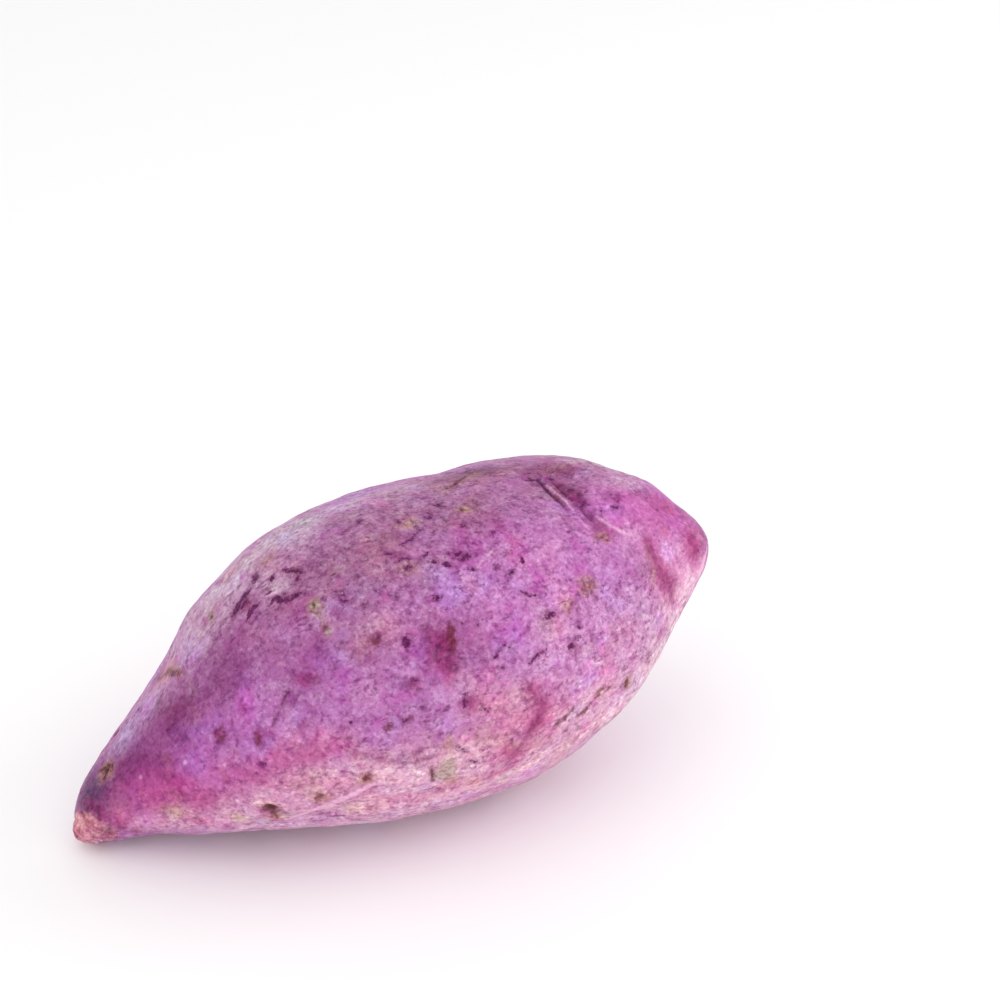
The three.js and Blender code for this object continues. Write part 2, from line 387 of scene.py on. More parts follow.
HAND_PLACED: dict[MarkKind, tuple[Mark, ...]] = {
    MarkKind.FLECK: (
        # a torn group high on the front of the taper
        dab(0.302, 87, 3.2, 2.2, 60), dab(0.321, 80, 2.2, 1.6, 50),
        stroke(2.0, (0.291, 83), (0.281, 82), (0.272, 81)),
        stroke(2.4, (0.274, 82), (0.266, 79), (0.259, 78)),
        stroke(1.2, (0.284, 80), (0.279, 78), (0.272, 77)),
        stroke(1.7, (0.293, 72), (0.284, 72), (0.274, 69)), dab(0.311, 74, 1.5, 1.2),
        dab(0.327, 69, 1.3, 1.1),
        # a curled edge of skin beside it, drawn dark, partly as its painted shadow
        stroke(1.7, (0.307, 68), (0.316, 70), (0.322, 67), (0.333, 65)),
        stroke(1.3, (0.333, 65), (0.340, 66), (0.351, 66)),
        stroke(1.5, (0.336, 81), (0.349, 78), (0.362, 74)), dab(0.351, 73, 1.5, 1.2, 70),
        # cracks over the top
        dab(0.460, 88, 1.8, 1.1, 60), stroke(0.9, (0.471, 69), (0.486, 68)),
        stroke(0.8, (0.485, 64), (0.497, 65), (0.511, 64)),
        stroke(0.7, (0.500, 71), (0.518, 72), (0.539, 76)), stroke(0.8, (0.526, 63), (0.538, 66)),
        dab(0.499, 61, 2.2, 1.3, 20), dab(0.513, 82, 1.4, 1.0, 80), stroke(1.2, (0.573, 88), (0.589, 85)),
        dab(0.582, 87, 2.6, 1.6), dab(0.559, 81, 2.0, 1.1, 20), dab(0.602, 73, 2.0, 1.4, 15),
        stroke(0.6, (0.395, 57), (0.409, 55)), dab(0.402, 59, 1.4, 0.8), dab(0.425, 52, 1.2, 0.9),
        stroke(0.9, (0.610, 97), (0.634, 100), (0.655, 104)), stroke(0.8, (0.655, 108), (0.672, 110)),
        # dark blotches in the painted shade beside the cleft
        dab(0.776, 90, 1.8, 1.3, 30), dab(0.785, 85, 2.0, 1.5, 60), dab(0.792, 80, 2.4, 1.7, 30),
        dab(0.799, 76, 1.9, 1.5, 70), dab(0.797, 70, 1.8, 1.3, 50), dab(0.811, 77, 1.2, 1.0),
        # a loose group beside the bluish patch
        dab(0.577, 62, 2.4, 1.6, 30), dab(0.586, 60, 3.4, 1.8, 20), dab(0.557, 59, 1.8, 2.2, 60),
        dab(0.566, 63, 1.6, 1.0), dab(0.542, 61, 1.7, 1.0), dab(0.592, 55, 1.9, 1.2),
        dab(0.529, 48, 2.2, 1.6), dab(0.629, 53, 1.5, 0.9, 60), dab(0.647, 50, 1.9, 1.0, 40),
        dab(0.668, 53, 1.0, 2.4), stroke(0.8, (0.652, 43), (0.664, 41), (0.678, 40)),
        dab(0.640, 66, 1.6, 0.8, 30),
        # the front of the belly
        dab(0.470, 36, 2.2, 2.8), dab(0.689, 33, 3.1, 1.7, 10),
        stroke(1.0, (0.645, 20), (0.659, 22), (0.673, 23)), dab(0.714, 21, 2.0, 1.7, 30),
        dab(0.726, 23, 1.6, 1.1), dab(0.732, 26, 1.1, 0.9), dab(0.595, 25, 1.8, 1.1, 10),
        stroke(0.6, (0.600, 26), (0.611, 28), (0.622, 26)), dab(0.602, 21, 1.1, 0.8),
        stroke(0.7, (0.464, 22), (0.469, 24), (0.475, 23)),
        stroke(0.8, (0.538, 11), (0.540, 15), (0.549, 16)), stroke(0.9, (0.566, 11), (0.574, 8)),
        dab(0.477, 14, 1.4, 1.2, 60), dab(0.378, 14, 1.2, 0.9, 60), dab(0.452, 11, 1.6, 1.0),
        stroke(0.8, (0.526, -2), (0.541, -5)), stroke(0.7, (0.545, -9), (0.561, -11)),
        stroke(0.6, (0.250, 6), (0.262, 5)), dab(0.121, 109, 1.6, 1.2),
    ),
    MarkKind.CORK: (
        # two tan scars joined by a thin one
        dab(0.361, 59, 2.6, 2.4, 60), stroke(0.9, (0.362, 57), (0.367, 51)), dab(0.371, 47, 2.4, 1.6, 60),
        # root scars
        dab(0.509, -11.5, 8.2, 5.4, 85), dab(0.237, 92, 2.6, 1.6, 85),
    ),
    MarkKind.PIT: (
        dab(0.266, -19, 3.6, 2.2, -20), stroke(0.8, (0.268, -22), (0.272, -26), (0.277, -31)),
        dab(0.237, 92, 2.0, 0.9, 85), dab(0.361, 59, 1.3, 0.9, 60), dab(0.368, 49, 1.6, 1.1, 60),
        stroke(0.9, (0.487, -8), (0.489, -12), (0.492, -16)),
        stroke(0.9, (0.048, 92), (0.058, 86), (0.067, 78), (0.066, 68)),
        stroke(0.8, (0.052, 84), (0.056, 74), (0.053, 66)), dab(0.059, 77, 2.2, 1.6, 30),
        dab(0.806, 54, 1.0, 0.8, 20), dab(0.813, 52, 0.7, 0.6, 20), dab(0.613, 81, 0.9, 0.8),
    ),
    MarkKind.BRUISE_AND_SHADE: (
        dab(0.521, 33, 7.0, 6.5), dab(0.508, 34, 4.0, 5.0), dab(0.525, 27, 5.0, 5.0),
        dab(0.281, 77, 3.4, 2.8, 60),
        # the dark side of the cleft: painted shade in the hollow beside it
        stroke(3.4, (0.772, 91), (0.783, 84), (0.794, 76), (0.802, 69)),
        stroke(2.4, (0.798, 68), (0.806, 62), (0.819, 56)), dab(0.804, 79, 3.6, 2.6, 40),
        dab(0.795, 95, 8.0, 4.0),
        # rosy weals low on the front
        stroke(1.8, (0.636, 12), (0.662, 5), (0.656, -1), (0.636, -5), (0.616, -13)),
        stroke(1.6, (0.380, 2), (0.408, -1), (0.442, -4), (0.468, -4), (0.489, -3)),
        stroke(1.0, (0.446, -1), (0.470, -2)), dab(0.328, 33, 4.0, 3.6), dab(0.470, 22, 2.6, 3.0),
        dab(0.547, 12, 3.8, 3.6), dab(0.430, 39, 3.2, 2.6), dab(0.208, 26, 3.4, 3.2),
        dab(0.256, 17, 2.4, 4.8),
        # the crown's furrow and what grew beyond it
        stroke(2.2, (0.876, 49), (0.878, 42), (0.885, 34), (0.894, 25), (0.908, 12)),
        dab(0.906, 18, 4.4, 3.6, 60), stroke(2.4, (0.958, 42), (0.961, 33), (0.964, 24)),
        # the dark side of the broken tip
        stroke(3.4, (0.018, 78), (0.030, 40), (0.040, 15), (0.050, -2)), dab(0.043, -16, 2.2, 2.0),
        dab(0.066, -15, 2.6, 2.4), dab(0.084, -26, 2.4, 1.8),
    ),
    MarkKind.WEAL: (
        dab(0.263, -21, 4.6, 3.0, -20), stroke(2.0, (0.538, 39), (0.536, 34), (0.534, 29)),
        stroke(1.4, (0.256, 20), (0.255, 13)),
        stroke(1.0, (0.200, 30), (0.212, 30), (0.214, 25), (0.204, 24)), dab(0.429, 39, 2.0, 1.6),
        dab(0.426, 10, 2.6, 1.8), stroke(2.0, (0.162, 138), (0.169, 112), (0.172, 90), (0.182, 78)),
        # a broken line of brown nicks towards the crown
        dab(0.690, -6, 2.8, 2.0, 40), dab(0.703, -5, 2.8, 1.9, 30), dab(0.715, -3, 2.2, 1.8, 60),
        stroke(1.7, (0.728, -7), (0.738, -8), (0.750, -5)), dab(0.762, -3, 2.2, 1.6, 70),
        dab(0.768, -1, 1.9, 1.4), dab(0.780, -3, 1.9, 1.4, 20), dab(0.707, -12, 2.0, 1.7),
        dab(0.735, -16, 1.3, 0.9), dab(0.806, -30, 1.6, 1.0), dab(0.814, -7, 1.3, 4.2),
        # brown spots along the low front
        dab(0.330, -15, 2.6, 2.0, 40), dab(0.394, -9, 2.4, 2.4),
        # thin streaks in the pale brown patches
        stroke(0.6, (0.755, 42), (0.757, 36)), stroke(0.6, (0.763, 41), (0.765, 36)),
        stroke(0.6, (0.770, 40), (0.771, 37)),
    ),
    MarkKind.STAIN: (
        dab(0.615, 81, 4.4, 3.2), dab(0.528, 80, 5.2, 3.2), dab(0.499, 61, 3.4, 2.6),
        dab(0.759, 38, 5.0, 4.8), dab(0.719, 34, 2.8, 3.2),
        stroke(2.2, (0.600, 95), (0.634, 100), (0.668, 104)), dab(0.323, 92, 3.4, 2.2),
        dab(0.330, -15, 4.4, 3.6), dab(0.394, -9, 3.8, 3.4), dab(0.221, -24, 4.0, 2.8),
        dab(0.138, -9, 4.4, 3.0), dab(0.522, -17, 2.8, 3.4), dab(0.806, 54, 3.4, 2.4),
        dab(0.796, 96, 6.0, 3.0), dab(0.513, 0, 2.4, 4.0), dab(0.817, -7, 2.6, 5.4),
        stroke(4.4, (0.166, 130), (0.170, 105), (0.180, 80)), dab(0.362, 58, 3.6, 3.6),
        dab(0.057, 77, 5.0, 4.0), dab(0.142, -12, 3.0, 2.2),
        stroke(1.0, (0.873, 43), (0.877, 32), (0.867, 25)),
    ),
    MarkKind.GRAZE_AND_HIGHLIGHT: (
        # the cleft's pale lips: painted highlights where their ridges catch the light
        stroke(0.4, (0.763, 87), (0.772, 79), (0.780, 69)), stroke(0.2, (0.783, 64), (0.790, 59)),
        stroke(0.6, (0.810, 63), (0.821, 59), (0.834, 55), (0.850, 52)),
        # lips of the creases on the back, with painted highlights
        stroke(0.5, (0.404, 141), (0.421, 150), (0.427, 159)),
        stroke(0.4, (0.823, 171), (0.846, 176), (0.868, 178)),
        # the low fold: a pale line of painted light, bounced from the floor onto its ridge
        stroke(1.7, (0.289, -32), (0.325, -24), (0.362, -18), (0.388, -14), (0.414, -11)),
        # scratches at the crown; the first also paints the rim light along the crown's edge
        stroke(1.0, (0.986, 28), (0.976, 14), (0.963, -1), (0.946, -9)),
        stroke(1.3, (0.944, 21), (0.939, 9), (0.932, 0)),
        # bright grains and scratches
        dab(0.100, 34, 0.8, 0.7), dab(0.159, 23, 0.9, 0.8), dab(0.209, 11, 0.7, 0.7),
        stroke(0.6, (0.306, 73), (0.326, 71)), stroke(0.15, (0.599, 55), (0.610, 57)),
        stroke(0.15, (0.619, 58), (0.632, 60)),
    ),
    MarkKind.SPLIT: (
        # dark lines in the cleft and a crease on the front: painted shade in their hollows
        stroke(0.8, (0.736, 93), (0.755, 92), (0.757, 88), (0.765, 78), (0.771, 70)),
        stroke(0.4, (0.775, 87), (0.780, 80), (0.786, 74)),
        stroke(0.3, (0.789, 71), (0.794, 66), (0.800, 62)),
        stroke(0.2, (0.303, 31), (0.295, 29), (0.287, 25), (0.275, 20)),
        # creases on the back, darkened with painted shade
        stroke(0.6, (0.388, 137), (0.411, 148), (0.420, 162), (0.413, 173)),
        stroke(0.5, (0.801, 170), (0.824, 176), (0.850, 181), (0.879, 182)),
    ),
}


@dataclass(frozen=True)
class FleckScatter:
    """Small torn flecks in loose groups, strewn over the whole root, and fewer where listed ones lie.

    The group's lean is given by its mean and spread, and the other pairs by their least and greatest values,
    but for the winding. It is how many degrees round the root a fleck moves for each millimetre that it lies
    across its group and along it.
    """

    seed: int = 11
    groups: int = 64
    flecks_in_group: tuple[int, int] = (2, 7)
    group_at: Pair = (0.08, 0.95)
    group_spread: float = 4.5
    group_lean: Pair = (15, 22)
    fleck_at: Pair = (0.05, 0.97)
    fleck_lean_spread: float = 18
    long: Pair = (0.7, 2.6)
    slimness: Pair = (0.35, 0.7)
    winding: Pair = (1.6, 0.5)
    root_length: float = 165
    front: Pair = (-42, 112)
    front_share: float = 0.12

    def marks(self) -> Iterable[Dab]:
        """Yields the strewn flecks.

        Yields:
            One small oval mark after another.
        """
        chance = random.Random(self.seed)
        for _ in range(self.groups):
            at, around = chance.uniform(*self.group_at), chance.uniform(-180, 180)
            shown = self.front[0] < around < self.front[1]
            kept = not shown or chance.random() < self.front_share
            lean = chance.gauss(*self.group_lean)
            for _ in range(chance.randint(*self.flecks_in_group)):
                step = chance.gauss(0, self.group_spread)
                turn = chance.gauss(0, self.group_spread / 2)
                long = self.long[0] + (self.long[1] - self.long[0]) * chance.random() ** 2
                wide = long * chance.uniform(*self.slimness)
                if kept:
                    yield dab(
                        min(self.fleck_at[1], max(self.fleck_at[0], at + step / self.root_length)),
                        around + turn * self.winding[0] + step * self.winding[1],
                        long,
                        wide,
                        lean + chance.gauss(0, self.fleck_lean_spread),
                    )


@dataclass(frozen=True)
class ScarScatter:
    """Rootlet scars and corky spots, strewn over the side of the root where none is listed.

    Small marks are the corky ones and the pits, and large ones the stains and bruises, in millimetres. A
    corky mark lies in a stain, `halo` times as wide.
    """

    seed: int = 5
    count: int = 26
    at: Pair = (0.08, 0.94)
    around: Pair = (115, 315)
    small: Pair = (1.6, 3.0)
    large: Pair = (3.0, 7.0)
    stretch: Pair = (1.0, 1.6)
    halo: float = 2
    lean: Pair = (40, 100)

    def marks(self) -> dict[MarkKind, list[Dab]]:
        """Makes the strewn scars.

        Returns:
            The marks of each kind.
        """
        chance = random.Random(self.seed)
        kinds = (MarkKind.CORK, MarkKind.PIT, MarkKind.STAIN, MarkKind.BRUISE_AND_SHADE)
        found: dict[MarkKind, list[Dab]] = {kind: [] for kind in kinds}
        for i in range(self.count):
            kind = kinds[i % len(kinds)]
            size = chance.uniform(*(self.small if kind in kinds[:2] else self.large))
            spot = dab(
                chance.uniform(*self.at),
                chance.uniform(*self.around),
                size * chance.uniform(*self.stretch),
                size,
                chance.uniform(*self.lean),
            )
            found[kind].append(spot)
            if kind is MarkKind.CORK:
                found[MarkKind.STAIN].append(Dab(spot.place, size * self.halo, size * self.halo))
        return found


@dataclass(frozen=True)
class Patch:
    """A soft patch of skin, about a third as strong `long` millimetres along the root or `wide` across it."""

    at: float
    around: float
    long: float
    wide: float
    strength: float

    def strengths(self, form: RootForm) -> Floats:
        """Works the patch's strength out over the skin.

        Args:
            form: the root's form.

        Returns:
            The strength at each corner.
        """
        centre = np.array(form.locate(Place(self.at, self.around))[0])
        offset = (form.points - centre) / MM
        along = offset[:, 0] / self.long
        across = np.hypot(offset[:, 1], offset[:, 2]) / self.wide
        return self.strength * np.exp(-(along**2 + across**2))


def washes(tone: Tone, *patches: tuple[float, ...]) -> list[tuple[Tone, Patch]]:
    """Makes soft patches of one tone, each given as (at, around, long, wide, strength)."""
    return [(tone, Patch(*patch)) for patch in patches]


WASHES: tuple[tuple[Tone, Patch], ...] = (
    # the back and the underside
    *washes(Tone.LILAC, (0.30, 150, 45, 30, 0.6)),
    *washes(Tone.MAGENTA, (0.62, 165, 40, 26, 0.4)),
    *washes(Tone.HEATHER, (0.80, 150, 26, 24, 0.5)),
    *washes(Tone.SHELL_PINK, (0.45, -90, 60, 24, 0.6)),
    *washes(Tone.ROSE, (0.75, -95, 40, 26, 0.6)),
    *washes(Tone.VIOLET, (0.22, 210, 26, 18, 0.5)),
    *washes(Tone.SHELL_PINK, (0.55, 230, 50, 14, 0.5)),
    # the taper and the tip
    *washes(Tone.VIOLET, (0.18, 36, 26, 14, 0.7)),
    *washes(Tone.DEEP_PURPLE, (0.10, 32, 17, 13, 0.85)),
    # pale lilac along the upper rim of the taper: partly dusty skin, partly a painted sheen
    *washes(Tone.DUSTY_LILAC, (0.20, 88, 14, 10, 0.4), (0.27, 104, 30, 13, 0.9), (0.37, 101, 24, 8, 0.9)),
    *washes(Tone.AUBERGINE, (0.24, 60, 15, 8, 0.65), (0.220, 50, 6, 5, 0.45)),
    *washes(Tone.HEATHER, (0.232, 90, 5, 4, 0.5)),
    *washes(Tone.WINE, (0.242, 95, 3, 3, 0.4)),
    # more painted sheen along the upper rim, over dusty skin
    *washes(Tone.MIST, (0.385, 103, 9, 5, 0.5)),
    *washes(Tone.DUSTY_LILAC, (0.306, 83, 3, 2.4, 0.4)),
    *washes(Tone.WINE, (0.261, 78, 3, 3, 0.5), (0.330, 92, 4, 3, 0.5)),
    *washes(Tone.AUBERGINE, (0.16, 61, 14, 8, 0.85), (0.09, 60, 12, 8, 0.85)),
    # more painted sheen along the upper rim, over dusty skin
    *washes(Tone.MIST, (0.140, 96, 8, 4, 0.8)),
    *washes(Tone.ROSE, (0.168, 108, 5, 6, 0.8)),
    *washes(Tone.WINE, (0.168, 110, 3, 3, 0.35)),
    # more painted sheen along the upper rim, over dusty skin
    *washes(Tone.MIST, (0.095, 95, 8, 4, 0.7)),
    *washes(Tone.PLUM, (0.038, 58, 6, 7, 0.9), (0.024, 55, 2.5, 4, 0.7), (0.025, 110, 5, 5, 0.3)),
    *washes(Tone.ROSE, (0.085, -8, 6, 4, 0.8)),
    *washes(Tone.SHELL_PINK, (0.105, -14, 5, 4, 0.5)),
    *washes(Tone.CERISE, (0.122, -11, 3, 3, 0.8)),
    *washes(Tone.MAGENTA, (0.088, 12, 8, 5, 0.9)),
    *washes(Tone.DEEP_PURPLE, (0.085, 26, 6, 5, 0.5)),
    *washes(
        Tone.RASPBERRY,
        (0.112, 8, 7, 5, 0.8), (0.142, 7, 7, 4, 0.9), (0.166, -2, 6, 3.4, 0.7), (0.190, -7, 9, 3.4, 0.8),
    ),
    *washes(Tone.ROSE_RED, (0.163, -20, 4, 3, 0.7)),
    *washes(Tone.WINE, (0.067, 21, 4, 4, 0.6)),
    *washes(Tone.CRIMSON, (0.066, -8, 2, 2.4, 0.6)),
    *washes(Tone.AUBERGINE, (0.222, 42, 4, 4, 0.2)),
    *washes(Tone.LILAC, (0.160, 76, 4, 3, 0.35)),
    *washes(Tone.MAGENTA, (0.193, 6, 5, 4, 0.7)),
    *washes(Tone.STRAW, (0.143, -12, 2.4, 2.4, 0.8), (0.229, -26, 2.6, 2.2, 0.7)),
    # the middle
    *washes(Tone.HEATHER, (0.43, 70, 24, 12, 0.8), (0.58, 84, 24, 8, 0.7), (0.67, 103, 16, 6, 0.8)),
    *washes(Tone.WINE, (0.668, 106, 11, 4, 0.8)),
    *washes(Tone.PLUM, (0.662, 105, 9, 3.5, 0.45)),
    *washes(Tone.WINE, (0.647, 100, 6, 4, 0.55), (0.632, 76, 6, 5, 0.5)),
    *washes(Tone.HEATHER, (0.514, 62, 6, 5, 0.5)),
    *washes(Tone.WINE, (0.729, 82, 5, 4, 0.5), (0.638, 73, 5, 4, 0.4)),
    *washes(Tone.DUSTY_LILAC, (0.684, 28, 5, 4, 0.8)),
    *washes(Tone.WINE, (0.576, 34, 4, 4, 0.6), (0.492, 76, 5, 4, 0.5)),
    *washes(Tone.PALE_ORCHID, (0.682, 52, 6, 5, 0.5)),
    *washes(Tone.HEATHER, (0.430, 58, 5, 5, 0.6), (0.350, 66, 5, 5, 0.4)),
    *washes(Tone.ORCHID, (0.248, 34, 4, 4, 0.6)),
    *washes(Tone.WINE, (0.415, 38, 4, 4, 0.5), (0.527, 21, 3.4, 3.4, 0.65)),
    *washes(Tone.MIST, (0.565, 48, 9, 5, 0.2)),
    *washes(Tone.ORCHID, (0.67, 42, 22, 16, 0.6)),
    *washes(Tone.SHELL_PINK, (0.567, 15, 7, 5, 0.6)),
    *washes(Tone.HEATHER, (0.395, 43, 10, 8, 0.4)),
    *washes(Tone.ROSE, (0.446, 42, 4, 4, 0.6)),
    *washes(Tone.WINE, (0.328, 33, 4, 3.4, 0.35)),
    *washes(Tone.DEEP_PURPLE, (0.345, 40, 5, 5, 0.6)),
    *washes(Tone.AUBERGINE, (0.299, 47, 6, 5, 0.35)),
    *washes(Tone.HEATHER, (0.430, 37, 5, 4, 0.3)),
    # the first wash is a painted shadow under the curled edge of skin
    *washes(Tone.WINE, (0.320, 64, 6, 4, 0.6), (0.280, 78, 2.4, 2.0, 0.8)),
    *washes(Tone.CERISE, (0.470, 22, 1.5, 1.5, 0.8)),
    *washes(Tone.LILAC, (0.455, 21, 3, 3, 0.5)),
    *washes(Tone.PALE_ORCHID, (0.673, 17, 4, 4, 0.6)),
    *washes(Tone.DUSTY_LILAC, (0.540, 108, 6, 4, 0.7)),
    *washes(Tone.PALE_ORCHID, (0.545, 14, 3.4, 3, 0.6)),
    *washes(Tone.DUSTY_LILAC, (0.322, 74, 5, 3.5, 0.7)),
    *washes(Tone.HEATHER, (0.456, 94, 7, 4, 0.6), (0.59, 99, 6, 4, 0.6)),
    *washes(Tone.CERISE, (0.547, 12, 2.4, 2.2, 0.9)),
    *washes(Tone.MAUVE, (0.46, 12, 20, 12, 0.5)),
    *washes(Tone.BURGUNDY, (0.520, 33, 5.5, 5.5, 0.8)),
    *washes(Tone.WINE, (0.571, 27, 3, 3, 0.4), (0.531, 82, 4, 3, 0.5)),
    *washes(Tone.PALE_ORCHID, (0.714, 39, 3, 3, 0.45), (0.402, 22, 4, 3, 0.4)),
    *washes(Tone.MAUVE, (0.654, 46, 3, 3, 0.4), (0.603, 48, 3.4, 3, 0.4)),
    *washes(Tone.HEATHER, (0.750, 67, 4, 3, 0.4)),
    *washes(Tone.WINE, (0.441, 61, 3, 3, 0.3)),
    *washes(Tone.PALE_ORCHID, (0.706, 22, 3.4, 3, 0.45)),
    *washes(Tone.DUSTY_LILAC, (0.431, 44, 2.4, 2, 0.4)),
    # the crown
    # the two smaller wine washes deepen the painted shade beside the cleft
    *washes(Tone.WINE, (0.80, 96, 12, 7, 0.8), (0.765, 86, 4, 3, 0.5), (0.790, 77, 5, 2.4, 0.5)),
    *washes(Tone.PALE_ORCHID, (0.818, 60, 3, 2, 0.6)),
    *washes(Tone.MAGENTA, (0.836, 62, 5, 4, 0.5), (0.881, 61, 5, 4, 0.6)),
    *washes(Tone.DUSTY_LILAC, (0.86, 106, 9, 7, 0.6)),
    *washes(Tone.MAGENTA, (0.86, 64, 12, 10, 0.8), (0.93, 60, 6, 9, 0.8)),
    *washes(Tone.CERISE, (0.930, 76, 5, 5, 0.7)),
    *washes(Tone.RASPBERRY, (0.924, 74, 4, 5, 0.55)),
    *washes(Tone.CERISE, (0.916, 48, 2.4, 2.6, 0.5)),
    *washes(Tone.RASPBERRY, (0.907, 28, 3.2, 3.6, 0.6)),
    *washes(Tone.DUSTY_LILAC, (0.890, 84, 7, 4, 0.5)),
    *washes(Tone.PALE_ORCHID, (0.855, 52, 4, 3, 0.6)),
    *washes(Tone.ORCHID, (0.835, 66, 5, 4, 0.8)),
    *washes(Tone.PALE_ORCHID, (0.80, 12, 20, 13, 0.5)),
    *washes(Tone.ROSE, (0.80, 15, 7, 5, 0.4)),
    *washes(Tone.PALE_ORCHID, (0.925, 26, 5, 7, 0.4)),
    # pale skin low on the crown's right side, with a painted sheen along that edge
    *washes(Tone.DUSTY_LILAC, (0.885, -20, 14, 14, 0.9)),
    *washes(Tone.SHELL_PINK, (0.94, 4, 6, 8, 1.0), (0.896, 11, 4, 3, 0.55)),
    *washes(
        Tone.CERISE,
        (0.879, 43, 2.4, 4, 0.95), (0.888, 30, 2.6, 5, 0.95), (0.900, 22, 3.2, 5, 0.9),
        (0.910, 13, 3.2, 4, 0.8),
    ),
    # a painted highlight on the crown, where the light from its side glints
    *washes(Tone.PAINTED_HIGHLIGHT, (0.909, 37.5, 2.0, 2.4, 1.0)),
    *washes(Tone.CERISE, (0.958, 36, 3.4, 7, 0.9)),
    # a painted pale rim where the crown's low right edge faces the floor
    *washes(Tone.SHELL_PINK, (0.93, -35, 14, 14, 0.8)),
    *washes(Tone.WINE, (0.99, 70, 4, 8, 0.5)),
    # the low front, where the skin is pale and rosy, made paler by painted light bounced up from the floor
    *washes(Tone.ROSE, (0.62, -6, 28, 9, 0.8), (0.30, -6, 26, 7, 0.7)),
    *washes(Tone.SHELL_PINK, (0.45, -10, 20, 7, 0.8)),
    *washes(Tone.CREAM, (0.37, -26, 40, 7, 0.35)),
    *washes(Tone.CRIMSON, (0.340, -29, 8, 2, 0.7)),
    *washes(
        Tone.SHELL_PINK,
        (0.213, -27, 6, 3, 0.6), (0.374, -25, 6, 3, 0.6), (0.565, -19, 4, 3, 0.6), (0.474, -3, 4, 2, 0.6),
        (0.62, -24, 34, 8, 0.8), (0.74, -3, 12, 5, 0.6),
    ),
    *washes(
        Tone.CERISE,
        (0.17, 2, 12, 3.5, 0.7), (0.22, 3, 9, 3.6, 0.8), (0.28, 5, 8, 3.2, 0.6), (0.255, 4, 5, 2.5, 0.5),
    ),
    *washes(Tone.ROSE, (0.35, 8, 9, 3.4, 0.5)),
    *washes(Tone.CRIMSON, (0.318, 5, 6, 3, 0.6)),
    *washes(Tone.CERISE, (0.346, 5, 5, 3, 0.5)),
    *washes(Tone.RASPBERRY, (0.249, -1, 6, 3, 0.5)),
    *washes(Tone.CERISE, (0.12, 14, 12, 4, 0.6)),
    *washes(Tone.ROSE_RED, (0.36, -9, 8, 3, 0.35)),
    *washes(Tone.CERISE, (0.170, -10, 4, 2.4, 0.6)),
    *washes(Tone.ROSE_RED, (0.46, -24, 10, 3, 0.5), (0.65, 0, 8, 7, 0.4)),
    *washes(Tone.ROSE, (0.594, 9, 6, 4, 0.7)),
    *washes(Tone.SHELL_PINK, (0.628, 9, 3.5, 3, 0.6), (0.679, -7, 4, 3, 0.6), (0.779, 1, 4, 4, 0.5)),
    *washes(
        Tone.CRIMSON,
        (0.644, 11, 3.0, 3, 0.7), (0.661, 3, 2.6, 3.5, 0.6), (0.645, -3, 3.0, 3, 0.6),
        (0.618, -12, 4, 3, 0.8), (0.58, -20, 10, 2, 0.8),
    ),
    *washes(Tone.CREAM, (0.79, -20, 13, 6, 0.9)),
    *washes(
        Tone.SHELL_PINK,
        (0.850, -12, 9, 6, 0.7), (0.55, -50, 70, 14, 0.7), (0.15, -18, 14, 4, 0.7), (0.214, -19, 5, 3, 0.8),
        (0.256, -15, 5, 2.5, 0.7),
    ),
    *washes(Tone.ROSE_RED, (0.262, -24, 4, 3, 0.4)),
    *washes(Tone.RASPBERRY, (0.178, -9, 6, 3, 0.38), (0.124, 4, 9, 3.2, 0.5)),
    *washes(Tone.CRIMSON, (0.646, -8, 3, 2.4, 0.35)),
    *washes(Tone.STRAW, (0.517, -6, 3, 3, 0.3)),
    *washes(Tone.MAUVE, (0.802, 11, 4, 3, 0.4)),
    *washes(Tone.ROSE_RED, (0.164, -22, 5, 2.6, 0.4)),
    *washes(Tone.WINE, (0.274, -29, 4, 2.4, 0.2)),
    *washes(Tone.STRAW, (0.274, -29, 4, 2.4, 0.5)),
    *washes(Tone.WINE, (0.347, -18, 4, 2.4, 0.35), (0.388, -14, 3, 2.4, 0.35)),
    *washes(Tone.CRIMSON, (0.600, -12, 3, 2, 0.25)),
    *washes(Tone.SHELL_PINK, (0.397, -3, 4, 2.4, 0.45), (0.333, -3, 4, 2.4, 0.4), (0.565, -19, 4, 3, 0.4)),
)

# Where the skin has more dark specks than the rest, or fewer where the strength is below 0.
CROWDINGS: tuple[Patch, ...] = (
    Patch(0.50, 68, 34, 16, 0.6),
    Patch(0.74, 34, 22, 16, 0.3),
    Patch(0.84, 33, 6, 6, 0.6),
    Patch(0.77, 92, 9, 6, 0.5),
    Patch(0.665, 104, 9, 5, 0.8),
    Patch(0.84, 66, 8, 7, -0.8),
    Patch(0.962, 28, 7, 8, -0.8),
    Patch(0.30, 74, 12, 9, 0.5),
    Patch(0.12, 30, 26, 22, -0.5),
    Patch(0.035, 60, 6, 6, 0.9),
    Patch(0.30, 24, 22, 14, -0.3),
    Patch(0.88, 40, 12, 18, -0.3),
    Patch(0.45, 200, 50, 30, 0.3),
)


@dataclass(frozen=True)
class BrokenTip:
    """The ragged end where the thin root broke off: it faces down, forward and away from the root."""

    edge: Place = Place(0.027, 25)
    facing: tuple[float, float, float] = (-0.72, -0.59, -0.36)

    def depth_inside(self, form: RootForm) -> Floats:
        """Says how far each corner lies inside the break, in millimetres, negative outside."""
        start, facing = form.locate(self.edge)[0], Vector(self.facing).normalized()
        return (form.points - np.array(start)) @ np.array(facing) / MM


